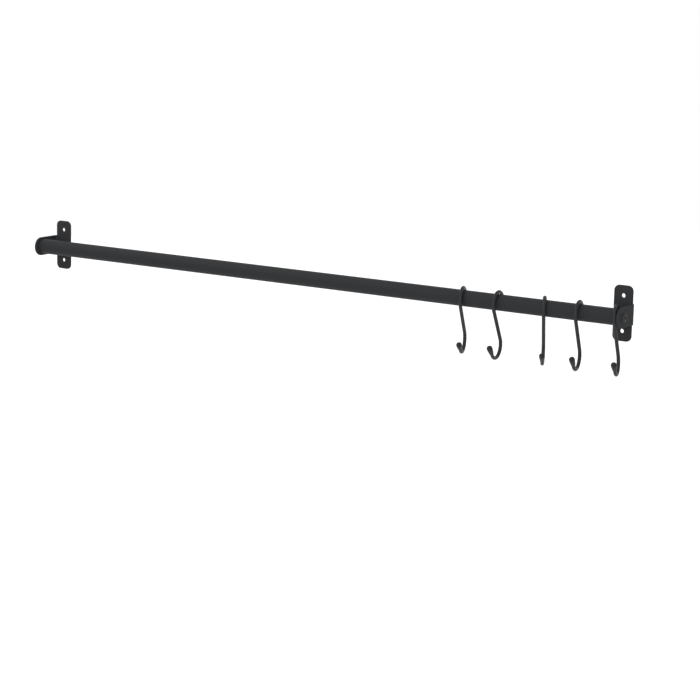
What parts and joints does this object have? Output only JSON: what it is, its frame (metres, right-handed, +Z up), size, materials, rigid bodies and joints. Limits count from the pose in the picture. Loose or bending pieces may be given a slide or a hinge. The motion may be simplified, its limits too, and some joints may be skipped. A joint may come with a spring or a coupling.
{
  "type": "hanging rail with s-hooks",
  "caption": "Wall-mounted round hanging rail on folded screw-on end brackets, with bent-wire S-hooks that slide along it to hang cups and utensils.",
  "frame": {"origin": "centre of the wall screw pattern, on the wall plane and level with the rail's axis, midway between the brackets", "axes": "+X along the rail to the bracket beside which the hooks hang, -Y from the wall into the room, +Z up"},
  "size_m": [0.8058, 0.0499, 0.0928],
  "materials": {
    "rail_powder_coat": "fine matt black powder coat on steel tube",
    "bracket_powder_coat": "fine matt black powder coat on folded sheet steel",
    "hook_powder_coat": "smooth satin black coat on bent steel wire",
    "cap_rubber": "soft matt black end caps",
    "screw_black": "satin black domed socket screws",
    "plug_steel": "turned steel, hidden inside the tube"
  },
  "bodies": {
    "rail": {"rail_tube": "rail_powder_coat", "left_bracket": "bracket_powder_coat", "right_bracket": "bracket_powder_coat", "left_threaded_plug": "plug_steel", "right_threaded_plug": "plug_steel", "left_end_screw": "screw_black", "right_end_screw": "screw_black"},
    "hook_1": {"hook_1_wire": "hook_powder_coat", "hook_1_upper_cap": "cap_rubber", "hook_1_lower_cap": "cap_rubber"},
    "hook_2": {"hook_2_wire": "hook_powder_coat", "hook_2_upper_cap": "cap_rubber", "hook_2_lower_cap": "cap_rubber"},
    "hook_3": {"hook_3_wire": "hook_powder_coat", "hook_3_upper_cap": "cap_rubber", "hook_3_lower_cap": "cap_rubber"},
    "hook_4": {"hook_4_wire": "hook_powder_coat", "hook_4_upper_cap": "cap_rubber", "hook_4_lower_cap": "cap_rubber"},
    "hook_5": {"hook_5_wire": "hook_powder_coat", "hook_5_upper_cap": "cap_rubber", "hook_5_lower_cap": "cap_rubber"}
  },
  "joints": [
    {"name": "hook_1_slide", "type": "slide", "parent": "rail", "child": "hook_1", "axis": [1, 0, 0], "range_m": [-0.592, 0.034]},
    {"name": "hook_2_slide", "type": "slide", "parent": "rail", "child": "hook_2", "axis": [1, 0, 0], "range_m": [-0.034, 0.041]},
    {"name": "hook_3_slide", "type": "slide", "parent": "rail", "child": "hook_3", "axis": [1, 0, 0], "range_m": [-0.041, 0.029]},
    {"name": "hook_4_slide", "type": "slide", "parent": "rail", "child": "hook_4", "axis": [1, 0, 0], "range_m": [-0.029, 0.032]},
    {"name": "hook_5_slide", "type": "slide", "parent": "rail", "child": "hook_5", "axis": [1, 0, 0], "range_m": [-0.032, 0]}
  ]
}
